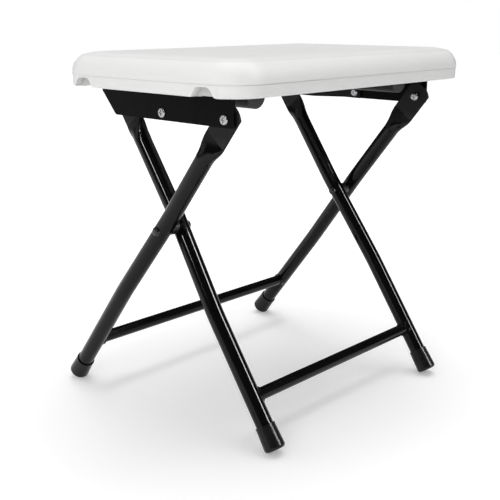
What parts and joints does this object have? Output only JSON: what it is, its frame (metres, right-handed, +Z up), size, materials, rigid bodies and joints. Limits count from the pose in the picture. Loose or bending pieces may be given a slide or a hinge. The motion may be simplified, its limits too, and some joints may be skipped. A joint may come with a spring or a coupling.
{
  "type": "folding stool",
  "caption": "Folding stool: a moulded rectangular seat on two crossed tubular leg frames that close flat and swing out in line with the seat.",
  "frame": {"origin": "on the floor, in the middle of the four feet, which is 23.3 mm behind the centre of the seat", "axes": "+Z up, +X to the front, across the short side of the seat; +Y to the left, along its long side; the leg frames cross in planes parallel to XZ"},
  "size_m": [0.3848, 0.456, 0.467],
  "materials": {
    "seat_plastic": "fine satin grain, blow moulded",
    "frame_paint": "semi-gloss black powder coat",
    "foot_rubber": "matt",
    "plug_plastic": "matt",
    "zinc": "bright zinc plate",
    "washer_plastic": "satin nylon",
    "rivet_black": "black coated"
  },
  "bodies": {
    "seat": {"seat_shell": "seat_plastic", "bracket_left": "frame_paint", "bracket_right": "frame_paint", "rail_left": "frame_paint", "rail_right": "frame_paint", "rail_plugs": "plug_plastic", "seat_screws": "zinc", "pivot_bolts": "zinc", "pivot_nuts": "zinc", "pivot_washers": "washer_plastic", "nut_washers": "washer_plastic"},
    "outer_frame": {"outer_leg_left": "frame_paint", "outer_leg_right": "frame_paint", "outer_stretcher": "frame_paint", "outer_foot_left": "foot_rubber", "outer_foot_right": "foot_rubber", "cross_rivets_outer": "rivet_black", "cross_washers_outer": "washer_plastic"},
    "links": {"link_left": "frame_paint", "link_right": "frame_paint", "link_pins": "rivet_black", "link_washers": "washer_plastic"},
    "inner_frame": {"inner_leg_left": "frame_paint", "inner_leg_right": "frame_paint", "inner_stretcher": "frame_paint", "inner_foot_left": "foot_rubber", "inner_foot_right": "foot_rubber", "cross_rivets_inner": "rivet_black", "cross_washers_inner": "washer_plastic"}
  },
  "joints": [
    {"name": "fold", "type": "hinge", "parent": "seat", "child": "outer_frame", "pos_m": [0.12684, 0, 0.399], "axis": [0, -1, 0], "range_deg": [0, 121.07]},
    {"name": "link_swing", "type": "hinge", "parent": "seat", "child": "links", "pos_m": [0.02084, 0, 0.399], "axis": [0, -1, 0], "range_deg": [0, 171.88]},
    {"name": "inner_swing", "type": "hinge", "parent": "links", "child": "inner_frame", "pos_m": [-0.09136, 0, 0.40076], "axis": [0, 1, 0], "range_deg": [0, 118.56]}
  ],
  "couplings": [
    {"joint": "link_swing", "follows": "fold", "ratio": 1.4193},
    {"joint": "inner_swing", "follows": "fold", "ratio": 0.97883}
  ]
}
